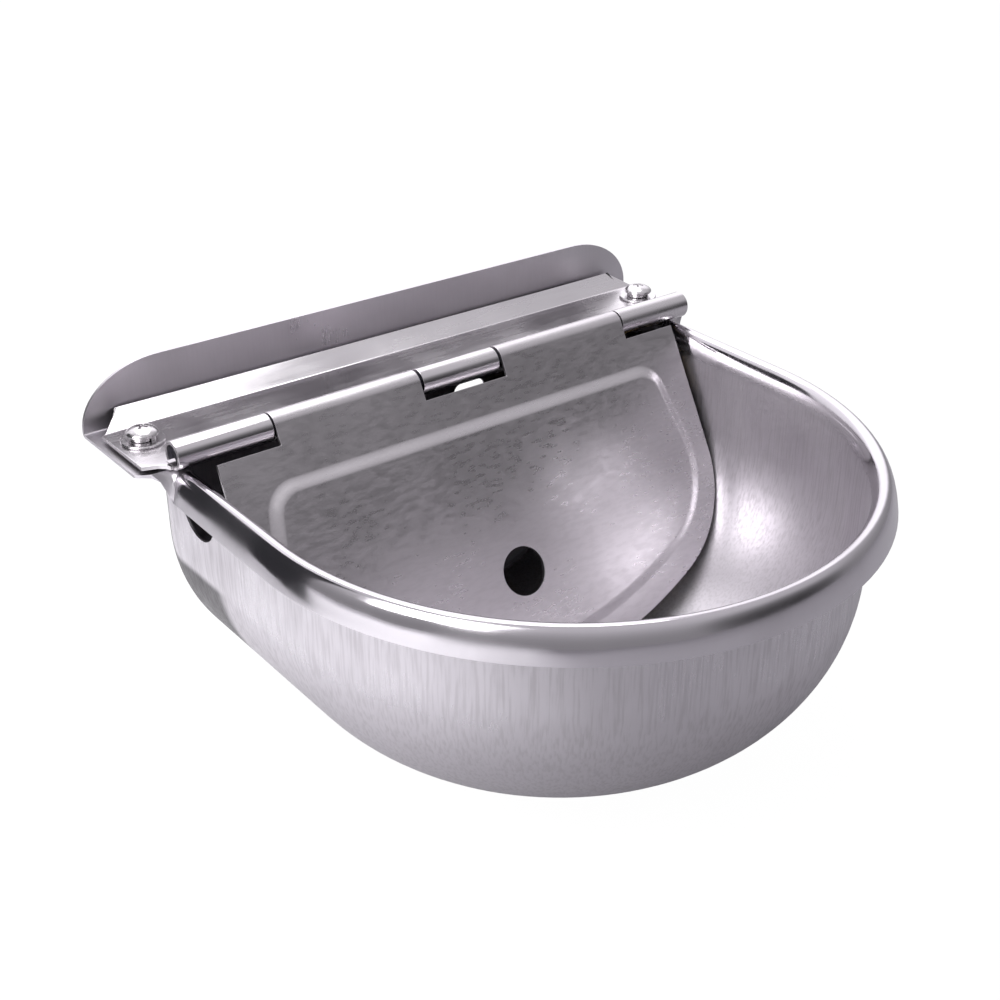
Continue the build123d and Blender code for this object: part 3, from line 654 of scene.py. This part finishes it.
@dataclass
class HingeBracket(HingeSheet):
    """The bracket on the flange: leg, raised strip and three knuckles."""

    grows: int = 1
    edge_angle: float = 50.0
    half: float = 134.5
    barrel_half: float = 125.0
    end_knuckle: float = 86.3
    mid_knuckle: float = 18.7
    notch_y: float = -45.0
    ear_share: float = 0.98
    ear_rows: int = 3
    front_corner: tuple[Span, ...] = ((134.1, -43.9), (129.7, -46.2), (126.0, -49.8))
    crease_y: float = -12.5
    crease_radius: float = 4.0
    strip_end: Span = (-3.3, 8.7)
    strip_half: float = 123.7

    def leg(self) -> Skin:
        """Draws the leg's underside from the crease to the knuckles."""
        level = self.hinge[1] - self.barrel
        skin = Skin("hinge_sheet", (-self.half, self.crease_y, level))
        stops = (-self.half, -self.barrel_half, -self.end_knuckle, -self.mid_knuckle)
        stops += tuple(-x for x in reversed(stops))
        for start, end in zip(stops, stops[1:]):
            skin.run((end - start, 0, 0))
        return skin.whole().run((0, self.notch_y - self.crease_y, 0), 4)

    def knuckles(self, skin: Skin) -> None:
        """Carries three lengths of the leg forward and rolls them round the pin."""
        y, z = self.hinge
        low, high, middle = self.end_knuckle, self.barrel_half, self.mid_knuckle
        for ends in ((-high, -low), (-middle, middle), (low, high)):
            skin.pick_line(self.notch_y, *ends).run((0, y - self.notch_y, 0), 2)
            self.roll_knuckle(skin, (0, y, z))

    def ears(self, skin: Skin) -> None:
        """Brings the leg's two ends forward to their cut corners."""
        reach = (self.hinge[0] - self.notch_y) * self.ear_share
        low, high = self.barrel_half, self.half
        for ends in ((-high, -low), (low, high)):
            skin.pick_line(self.notch_y, *ends).run((0, reach, 0), self.ear_rows)
        skin.merge()
        rows = [self.notch_y + reach * i / self.ear_rows for i in range(1, self.ear_rows + 1)]
        for vert in skin.mesh().verts:
            if abs(vert.co.x) > self.half - TOUCH and vert.co.y < self.notch_y - TOUCH:
                row = min(rows, key=lambda y: abs(y - vert.co.y))
                vert.co.x = copysign(self.corner_half(row), vert.co.x)
        skin.refresh()

    def corner_half(self, y: float) -> float:
        """Half the leg's width where its front corners are cut away."""
        points = [(self.half, self.notch_y), *self.front_corner]
        for (x0, y0), (x1, y1) in zip(points, points[1:]):
            if y1 <= y <= y0:
                return x0 + (x1 - x0) * (y - y0) / (y1 - y0)
        return points[-1][0]

    def strip(self, skin: Skin) -> None:
        """Draws the raised strip up from the crease, its ends cut on a slant."""
        level = self.hinge[1] - self.barrel
        end_y, end_z = self.strip_end
        rise = atan2(end_z - (level + self.sheet), end_y - self.crease_y)
        skin.pick_line(self.crease_y)
        centre = (0, self.crease_y, level + self.crease_radius)
        here = skin.turn(centre, (1, 0, 0), degrees(rise), 6).tip()
        end_y += self.sheet * sin(rise)
        end_z -= self.sheet * cos(rise)
        skin.run((0, end_y - here.y, end_z - here.z), 2)
        for vert in skin.mesh().verts:
            if abs(vert.co.x) > self.half - TOUCH and vert.co.y > self.crease_y + TOUCH:
                share = (vert.co.y - self.crease_y) / (end_y - self.crease_y)
                half = self.half + (self.strip_half - self.half) * share
                vert.co.x = copysign(half, vert.co.x)
        skin.refresh()

    def draw(self) -> Skin:
        """Draws the bracket's underside."""
        skin = self.leg()
        self.knuckles(skin)
        self.ears(skin)
        self.strip(skin)
        return skin


@dataclass
class ScrewSet:
    """The two bracket screws with their spring and flat washers, in millimetres."""

    place: Span = (124.0, -25.0)
    seat: float = 2.9
    flat: tuple[float, ...] = (8.4, 3.2, 1.1, 0.3)
    spring: tuple[float, ...] = (4.9, 3.1, 1.5, 0.25)
    spring_rise: float = 0.35
    gap: float = 9.0
    gap_turn: float = -75.0
    shank: Triple = (2.95, -9.0, 0.6)
    head: Triple = (6.1, 0.9, 2.6)
    head_foot: Triple = (0.7, 0.1, 0.45)
    dome_power: float = 1.25
    dome_steps: int = 9
    recess: Triple = (6.4, 1.3, 1.7)
    recess_foot: Span = (0.55, 0.7)
    recess_turns: Span = (45.0, 135.0)
    steps: int = 48
    fine: float = 0.001

    def outline(self, name: str, points: list[Span]) -> Skin:
        """Draws a section from points given by distance from the axis and height."""
        skin = Skin(name, (points[0][0], 0, points[0][1]))
        for (x0, z0), (x1, z1) in zip(points, points[1:]):
            skin.run((x1 - x0, 0, z1 - z0))
        return skin.whole()

    def washer(self, name: str, size: tuple[float, ...], low: float) -> Skin:
        """Draws a washer's section with its outer corners broken.

        Args:
            name: The piece's name.
            size: Outer and inner radius, thickness and how much the corners lose.
            low: Height of its underside.

        Returns:
            The drawing, all of it selected.
        """
        outer, inner, thick, off = size
        high = low + thick
        points = [(inner, low), (outer - off, low), (outer, low + off), (outer, high - off)]
        return self.outline(name, [*points, (outer - off, high), (inner, high), (inner, low)])

    def pair(self, piece: Piece) -> Piece:
        """Sets one piece on each side and joins the two."""
        x, y = self.place
        other = piece.copy()
        other.data = piece.data.copy()
        bpy.context.scene.collection.objects.link(other)
        for item, side in ((piece, 1), (other, -1)):
            item.data.transform(Matrix.Translation((side * x, y, 0)))
        choose(piece)
        other.select_set(True)
        bpy.ops.object.join()
        return to_metres(piece)

    def make_flat(self) -> Piece:
        """Models the flat washers."""
        skin = self.washer("flat_washer_pair", self.flat, self.seat)
        skin.turn(ORIGIN, UP, 360, self.steps).merge(self.fine).upward()
        return self.pair(skin.finish())

    def make_spring(self) -> Piece:
        """Models the spring washers, each a ring cut through and sprung open."""
        skin = self.washer("spring_washer_pair", self.spring, self.seat + self.flat[2])
        skin.merge(self.fine).pick(lambda v: True, Kind.EDGES).fill().whole()
        skin.turn(ORIGIN, UP, 360 - self.gap, self.steps)
        for vert in skin.mesh().verts:
            turned = atan2(vert.co.y, vert.co.x) % (2 * pi)
            vert.co.z += self.spring_rise * (turned / pi - 1) / 2
        skin.refresh().merge(self.fine).upward()
        return self.pair(skin.finish(Matrix.Rotation(radians(self.gap_turn), 4, "Z")))

    def make_screw(self) -> Piece:
        """Models the screws: shank, domed head and cross recess."""
        radius, rim, dome = self.head
        shank, end, point = self.shank
        under, side, share = self.head_foot
        low = self.seat + self.flat[2] + self.spring[2]
        points = [(self.fine, end), (shank - point, end), (shank, end + point), (shank, low)]
        points += [(radius - under, low), (radius - side, low + rim * share), (radius, low + rim)]
        for step in range(1, self.dome_steps + 1):
            angle = pi / 2 * step / self.dome_steps
            height = low + rim + dome * sin(angle) ** self.dome_power
            points.append((max(self.fine, radius * cos(angle)), height))
        skin = self.outline("pan_head_screw_pair", points)
        piece = skin.turn(ORIGIN, UP, 360, self.steps).merge(0.02).upward().finish()
        for turn in self.recess_turns:
            cut(piece, self.recess_tool(low + rim + dome, turn))
        break_edges(piece, 0.1, 50)
        return self.pair(piece)

    def recess_tool(self, top: float, turn: float) -> Piece:
        """One wing of the cross recess, narrower at its foot."""
        length, width, depth = self.recess
        turned = (0, 0, radians(turn))
        bpy.ops.mesh.primitive_cube_add(size=1, location=(0, 0, top), rotation=turned)
        tool = bpy.context.object
        tool.scale = (length, width, 2 * depth)
        for vert in tool.data.vertices:
            if vert.co.z < 0:
                vert.co.x *= self.recess_foot[0]
                vert.co.y *= self.recess_foot[1]
        bpy.ops.object.transform_apply()
        return tool


class Recipe:
    """Builds the nodes of one material or of the world."""

    def __init__(self, owner: bpy.types.Material | bpy.types.World) -> None:
        """Starts on a new material or world."""
        owner.use_nodes = True
        self.owner = owner
        self.tree = owner.node_tree
        nodes = self.tree.nodes
        self.shader = nodes.get("Principled BSDF") or nodes["Background"]
        self.output = nodes.get("Material Output") or nodes["World Output"]
        of_world = isinstance(owner, bpy.types.World)
        self.place = self.add("TexCoord").outputs["Generated" if of_world else "Object"]

    def axes(self) -> list:
        """The three coordinates of the place."""
        return list(self.add("SeparateXYZ", None, Vector=self.place).outputs)

    def feed(self, node: bpy.types.Node, **inputs: object) -> bpy.types.Node:
        """Gives a node its inputs, values or sockets, by name or as in0, in1 and so on."""
        for name, value in inputs.items():
            key = int(name[2:]) if name[:2] == "in" and name[2:].isdigit() else name.replace("_", " ")
            if isinstance(value, bpy.types.NodeSocket):
                self.tree.links.new(value, node.inputs[key])
            else:
                node.inputs[key].default_value = value
        return node

    def add(self, kind: str, settings: dict | None = None, **inputs: object) -> bpy.types.Node:
        """Adds one node, its type without the prefix, with its settings and its inputs."""
        node = self.tree.nodes.new("ShaderNode" + kind)
        for name, value in (settings or {}).items():
            setattr(node, name, value)
        return self.feed(node, **inputs)

    def calc(self, operation: str, first: object, second: object, clamp: bool = False) -> object:
        """Adds one sum and gives its result."""
        settings = {"operation": operation, "use_clamp": clamp}
        return self.add("Math", settings, in0=first, in1=second).outputs[0]

    def times(self, first: object, *others: object) -> object:
        """Multiplies values with each other."""
        for other in others:
            first = self.calc("MULTIPLY", first, other)
        return first

    def total(self, first: object, *others: object, clamp: bool = False) -> object:
        """Adds values up; the last sum may be held between 0 and 1."""
        for number, other in enumerate(others, 1):
            first = self.calc("ADD", first, other, clamp and number == len(others))
        return first

    def length(self, operation: str, first: object, second: object = ORIGIN) -> object:
        """Adds one sum of vectors that gives a number."""
        settings = {"operation": operation}
        return self.add("VectorMath", settings, in0=first, in1=second).outputs["Value"]

    def ease(self, value: object, low: float, high: float, start: float = 0, end: float = 1) -> object:
        """Maps a value smoothly from one range to another."""
        inputs = {"Value": value, "From_Min": low, "From_Max": high, "To_Min": start, "To_Max": end}
        return self.add("MapRange", {"interpolation_type": "SMOOTHSTEP"}, **inputs).outputs["Result"]

    def noise(self, scale: float, detail: float = 3, stretch: Triple = (1, 1, 1), **turn: Triple) -> object:
        """Adds a noise, its place turned and then stretched for each axis, and gives its value."""
        place = self.add("Mapping", None, Vector=self.place, **turn).outputs[0] if turn else self.place
        scaled = self.add("Mapping", None, Vector=place, Scale=stretch).outputs[0]
        return self.add("TexNoise", None, Vector=scaled, Scale=scale, Detail=detail).outputs[0]

    def mix(self, share: object, first: object, second: object) -> object:
        """Mixes two colours by a share; each may come from another node."""
        ends = [(*end, 1) if isinstance(end, tuple) else end for end in (first, second)]
        return self.add("Mix", {"data_type": "RGBA"}, in0=share, in6=ends[0], in7=ends[1]).outputs[2]

    def show_camera(self, seen: bpy.types.Node, share: float) -> None:
        """Mixes in a share of a shader that only the camera sees."""
        camera = self.times(self.add("LightPath").outputs["Is Camera Ray"], share)
        ends = {"in1": self.shader.outputs[0], "in2": seen.outputs[0]}
        both = self.add("MixShader", None, in0=camera, **ends)
        self.feed(self.output, Surface=both.outputs[0])


@dataclass(frozen=True)
class Finish:
    """How one kind of surface looks."""

    name: str
    color: Triple
    roughness: float
    metallic: float = 1.0
    grain: Triple = (1.0, 1.0, 1.0)
    grain_scale: float = 600.0
    grain_depth: float = 0.06
    grain_bump: float = 0.01
    grain_tint: float = 0.2
    cloud_scale: float = 26.0
    cloud_depth: float = 0.08
    stain: Triple = (0.42, 0.40, 0.42)
    stain_share: float = 0.14
    scratches: float = 0.05
    specks: float = 0.05
    speck_scale: float = 1100.0
    warp: float = 0.0
    warp_scale: float = 24.0
    # Near-black colour that is mixed in as painted shade wherever a finish's zones ask for it.
    painted_shade_color: Triple = (0.03, 0.03, 0.03)

    def material(self) -> bpy.types.Material:
        """Makes the material, worked out from the piece's own coordinates."""
        recipe = Recipe(bpy.data.materials.new(self.name))
        grain = recipe.noise(self.grain_scale, 4, self.grain)
        cloud = recipe.noise(self.cloud_scale, 5)
        scratch = self.scratch_lines(recipe)
        speck = recipe.ease(recipe.noise(self.speck_scale, 1), 0.70, 0.80)
        brushed, dulled, painted_shade_share = self.zones(recipe)
        rough = recipe.total(
            recipe.times(recipe.ease(grain, 0.3, 0.7, -self.grain_depth, self.grain_depth), brushed),
            dulled,
            recipe.ease(cloud, 0.3, 0.7, -self.cloud_depth, self.cloud_depth),
            recipe.times(scratch, 0.15 * self.scratches),
            self.roughness,
            clamp=True,
        )
        tint = recipe.total(
            recipe.times(recipe.ease(cloud, 0.45, 0.75), self.stain_share),
            recipe.times(recipe.ease(grain, 0.42, 0.68), self.grain_tint, brushed),
            recipe.times(speck, self.specks),
            clamp=True,
        )
        color = recipe.mix(tint, self.color, self.stain)
        # Painted shade: the colour is mixed towards near black by the share of painted shade.
        color = recipe.mix(painted_shade_share, color, self.painted_shade_color)
        height = recipe.times(grain, self.grain_bump, brushed)
        for mark, depth in ((scratch, self.scratches), (speck, self.specks)):
            height = recipe.calc("SUBTRACT", height, recipe.times(mark, 0.3 * depth))
        bump = recipe.add("Bump", None, Strength=0.35, Distance=0.0002, Height=height)
        if self.warp:
            wave = recipe.noise(self.warp_scale, 1)
            bump = recipe.add("Bump", None, Distance=self.warp, Height=wave, Normal=bump.outputs[0])
        inputs = {"Base_Color": color, "Roughness": rough, "Normal": bump.outputs[0]}
        recipe.feed(recipe.shader, Metallic=self.metallic, **inputs)
        return recipe.owner

    def zones(self, recipe: Recipe) -> tuple[object, object, object]:
        """Share of the grain, added roughness and share of painted shade, which may differ by place."""
        return 1.0, 0.0, 0.0

    def scratch_lines(self, recipe: Recipe) -> object:
        """Thin scratches in two directions, where a slow noise lets them show."""
        lines = []
        for turn, seed in ((0.5, 0.0), (2.0, 7.0)):
            moves = {"Rotation": (turn, turn * 0.6, turn), "Location": (seed,) * 3}
            lines.append(recipe.ease(recipe.noise(160.0, 2, (7.0, 0.35, 1.0), **moves), 0.72, 0.76))
        where = recipe.ease(recipe.noise(45.0), 0.45, 0.6)
        return recipe.times(recipe.calc("MAXIMUM", *lines), where)


@dataclass(frozen=True)
class BowlFinish(Finish):
    """The bowl's finish: brushed walls, a polished rim and painted shade in the chamber behind the guard.

    Each zone fades in or out between two distances or heights, in metres.
    """

    nose_y: float = -0.115
    rim_reach: Span = (0.1185, 0.1195)
    rim_level: Span = (-0.013, -0.006)
    rim_front: Span = (-0.056, -0.050)
    inside_reach: Span = (0.1162, 0.1168)
    grain_reach: Span = (0.1175, 0.119)
    wall_level: Span = (-0.014, -0.006)
    chamber_front: Span = (-0.066, -0.056)
    chamber_back: Span = (-0.0088, -0.0084)
    # Painted shade in the chamber fades in over these heights. Its strength is set further down.
    painted_shade_heights: Span = (-0.105, -0.08)
    rim_polish: float = -0.14
    inside_dull: float = 0.11
    body_dull: float = 0.05
    painted_shade_strength: float = 0.8

    def zones(self, recipe: Recipe) -> tuple[object, object, object]:
        """Grain that stops at a smooth rim, walls that are duller inside, and painted shade in the chamber
        behind the guard.
        """
        x, y, z = recipe.axes()
        nose = recipe.calc("MINIMUM", recipe.total(y, -self.nose_y), 0.0)
        reach = recipe.length("LENGTH", recipe.add("CombineXYZ", None, X=x, Y=nose).outputs[0])
        outer = recipe.ease(reach, *self.rim_reach)
        upper = recipe.ease(z, *self.rim_level)
        front = recipe.ease(y, *self.rim_front, 1, 0)
        rim = recipe.times(recipe.calc("MAXIMUM", outer, upper), front)
        within = recipe.ease(reach, *self.inside_reach, 1, 0)
        inside = recipe.times(within, recipe.ease(z, *self.wall_level, 1, 0))
        walls = recipe.ease(reach, *self.grain_reach, 1, 0.1)
        brushed = recipe.times(walls, recipe.ease(z, *self.wall_level, 1, 0.15))
        polish = recipe.times(rim, self.rim_polish - self.body_dull)
        dulled = recipe.total(polish, recipe.times(inside, self.inside_dull), self.body_dull)
        # Painted shade: the colour of the walls inside the chamber behind the guard is darkened, above the
        # basin's floor and not on the rear wall's outer face.
        high = recipe.times(recipe.ease(z, *self.painted_shade_heights), self.painted_shade_strength)
        chamber = recipe.times(recipe.ease(y, *self.chamber_front), inside, high)
        return brushed, dulled, recipe.times(chamber, recipe.ease(y, *self.chamber_back, 1, 0))


class Finishes(Enum):
    """The finishes by material slot."""

    PRESSED_STEEL = BowlFinish(
        "pressed_steel", (0.61, 0.585, 0.62), 0.29, grain=(1, 1, 0.06), grain_scale=900.0,
        grain_tint=0.38, stain_share=0.22, scratches=0.02, warp=0.0008,
    )
    BRACKET_STEEL = Finish(
        "bracket_steel", (0.66, 0.635, 0.66), 0.22, grain=(0.05, 1, 1), grain_depth=0.03,
        grain_tint=0.1, warp=0.0006,
    )
    COVER_STEEL = Finish(
        "cover_steel", (0.585, 0.56, 0.585), 0.33, grain=(0.3, 1, 1), cloud_depth=0.03,
        stain_share=0.05, scratches=0.0, specks=0.0, warp=0.0012,
    )
    PIN_STEEL = Finish("pin_steel", (0.02, 0.02, 0.028), 0.5, 0.8, stain=(0.06, 0.06, 0.07), scratches=0.6)
    SCREW_STEEL = Finish("screw_steel", (0.66, 0.64, 0.66), 0.22, grain_scale=900.0, scratches=0.4)
    VALVE_BRASS = Finish("valve_brass", (0.62, 0.45, 0.20), 0.26, stain=(0.35, 0.24, 0.10), scratches=0.4)
    SEAL_RUBBER = Finish(
        "seal_rubber", (0.025, 0.025, 0.027), 0.62, 0.0, stain=(0.06, 0.06, 0.06), scratches=0.1
    )
    STRAINER_PLASTIC = Finish("strainer_plastic", (0.75, 0.76, 0.74), 0.45, 0.0, stain=(0.6, 0.6, 0.56))
    FLOAT_PLASTIC = Finish("float_plastic", (0.045, 0.045, 0.05), 0.4, 0.0, stain=(0.09, 0.09, 0.09))


@dataclass
class Studio:
    """Floor, lamps, world and camera round the bowl, in metres."""

    floor_z: float = -0.1222
    # Grey and pale colours of the floor's painted shade and painted light, and the side that is painted
    # lit.
    painted_floor_shading: tuple[Triple, Triple] = ((0.30, 0.295, 0.31), (0.92, 0.92, 0.93))
    lit_side: Triple = (-0.75, 0.66, 0.0)
    lit_range: Span = (-0.22, 0.2)
    camera_place: Triple = (-0.3235, -0.4951, 0.2399)
    azimuth: float = -37.98
    elevation: float = 27.96
    lens: float = 53.217
    card_place: Triple = (-0.40, 0.37, 0.15)
    card_size: Triple = (0.54, 0.70, 1.0)
    card_tones: tuple[Triple, Triple] = ((0.015, 0.015, 0.018), (0.03, 0.03, 0.034))
    glow: Span = (0.34, 0.75)
    glow_color: tuple[float, ...] = (0.98, 0.96, 1.0, 1)
    lobes: tuple = (
        ((0.54, 0.70, 0.47), 42.0, 1.2),
        ((-0.20, 0.90, 0.38), 48.0, 0.8),
        ((0.54, -0.82, 0.20), 32.0, -0.3),
    )
    lamps: tuple = (
        ("overhead_softbox", (0.1, 0.25, 1.1), 0.9, 6.5),
        ("side_softbox", (-1.0, -0.3, 0.8), 0.8, 12),
    )
    lamp_aim: Triple = (0, -0.1, 0)

    def camera(self) -> None:
        """Sets up the camera."""
        turn = (radians(90 - self.elevation), 0, radians(self.azimuth))
        bpy.ops.object.camera_add(location=self.camera_place, rotation=turn)
        camera = bpy.context.object
        camera.name = "studio_camera"
        camera.data.sensor_width = 36
        camera.data.lens = self.lens
        bpy.context.scene.camera = camera

    def sheet(self, name: str, cloth: str, **settings: object) -> tuple[Piece, Recipe]:
        """Adds a flat sheet and starts its own material's recipe."""
        bpy.ops.mesh.primitive_plane_add(**settings)
        sheet = bpy.context.object
        sheet.name = name
        recipe = Recipe(bpy.data.materials.new(cloth))
        sheet.data.materials.append(recipe.owner)
        return sheet, recipe

    def floor(self) -> None:
        """Lays the floor, painted grey away from the lit side and pale towards it as painted shade and
        light, which the camera sees almost white under a faint shadow.
        """
        place = (0, 0, self.floor_z)
        floor, recipe = self.sheet("studio_floor", "pale_floor", size=8, location=place)
        # Painted light and shade: the floor's colour goes from grey to pale towards the lit side, with a
        # little noise.
        side = recipe.length("DOT_PRODUCT", recipe.place, self.lit_side)
        lit = recipe.ease(side, *self.lit_range)
        lit = recipe.total(lit, recipe.times(recipe.noise(3.0), 0.1))
        tone = recipe.mix(lit, *self.painted_floor_shading)
        recipe.feed(recipe.shader, Base_Color=tone, Roughness=0.9)
        recipe.show_camera(recipe.add("Emission", None, Strength=1.06), 0.93)

    def card(self) -> None:
        """Stands a black card on the left, which the left side of the rim mirrors."""
        settings = {"size": 1, "location": self.card_place, "rotation": (0, pi / 2, 0)}
        card, recipe = self.sheet("black_card", "black_cloth", **settings)
        card.scale = self.card_size
        bpy.ops.object.transform_apply()
        tone = recipe.mix(recipe.noise(30.0), *self.card_tones)
        recipe.feed(recipe.shader, Base_Color=tone, Roughness=0.95)
        card.visible_camera = False

    def world(self) -> None:
        """Gives the room a soft glow, shaped by lobes, and the camera a white background."""
        world = bpy.data.worlds.new("studio_world")
        bpy.context.scene.world = world
        recipe = Recipe(world)
        room = recipe.ease(recipe.axes()[2], 0, 1, *self.glow)
        for direction, width, change in self.lobes:
            dot = recipe.length("DOT_PRODUCT", recipe.place, Vector(direction).normalized())
            room = recipe.total(room, recipe.ease(dot, cos(radians(width)), 1, 0, change))
        room = recipe.calc("MAXIMUM", room, 0.02)
        recipe.feed(recipe.shader, Strength=room, Color=self.glow_color)
        recipe.show_camera(recipe.add("Background", None, Color=(1, 1, 1, 1), Strength=1), 1)

    def lamp(self, name: str, place: Triple, size: float, power: float) -> None:
        """Adds one soft square lamp, its power in watts."""
        way = Vector(self.lamp_aim) - Vector(place)
        turn = way.to_track_quat("-Z", "Y").to_euler()
        bpy.ops.object.light_add(type="AREA", location=place, rotation=turn)
        lamp = bpy.context.object
        lamp.name = name
        lamp.data.shape = "SQUARE"
        lamp.data.size = size
        lamp.data.energy = power

    def build(self) -> None:
        """Sets up everything."""
        self.camera()
        self.floor()
        self.card()
        self.world()
        for lamp in self.lamps:
            self.lamp(*lamp)


def smooth_copy(node: Piece) -> Piece:
    """Copies a node of the frame, its points joined and its round faces smooth."""
    mesh = node.data.copy()
    mesh.transform(node.matrix_world)
    piece = bpy.data.objects.new(node.name + "_dressed", mesh)
    bpy.context.scene.collection.objects.link(piece)
    choose(piece)
    bpy.ops.object.mode_set(mode="EDIT")
    bpy.ops.mesh.select_mode(type="VERT")
    bpy.ops.mesh.select_all(action="SELECT")
    bpy.ops.mesh.remove_doubles(threshold=0.00001)
    bpy.ops.mesh.tris_convert_to_quads()
    bpy.ops.object.mode_set(mode="OBJECT")
    bpy.ops.object.shade_smooth_by_angle(angle=radians(CAD_SHARP))
    return piece


def show(piece: Piece, body: str, node: str, material: bpy.types.Material) -> None:
    """Gives a finished piece its material and its body, and hides the node of the frame that it stands for.

    Args:
        piece: The piece.
        body: The body that it rides on.
        node: The node of the frame that it replaces.
        material: The slot's material.
    """
    piece.data.materials.clear()
    piece.data.materials.append(material)
    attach(piece, body)
    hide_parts(node)


def main() -> None:
    """Builds the bowl, dresses the frame and sets the studio."""
    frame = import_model()
    record = frame["record"]
    materials = {finish.value.name: finish.value.material() for finish in Finishes}
    home = {node: body for body, nodes in record["behaviour"]["bodies"].items() for node in nodes}
    slots = {part["node"]: part["material_slot"] for part in record["subparts"]}
    shells = {
        "drinking_bowl": BowlShell().make,
        "guard_cover": GuardCover().make,
        "hinge_bracket": HingeBracket().make,
        "bracket_screws": ScrewSet().make_screw,
        "lock_washers": ScrewSet().make_spring,
        "flat_washers": ScrewSet().make_flat,
    }
    for name, node in frame["nodes"].items():
        piece = shells[name]() if name in shells else smooth_copy(node)
        show(piece, home[name], name, materials[slots[name]])
    Studio().build()
    bpy.context.scene.view_settings.view_transform = "Standard"


if __name__ == "__main__":
    main()
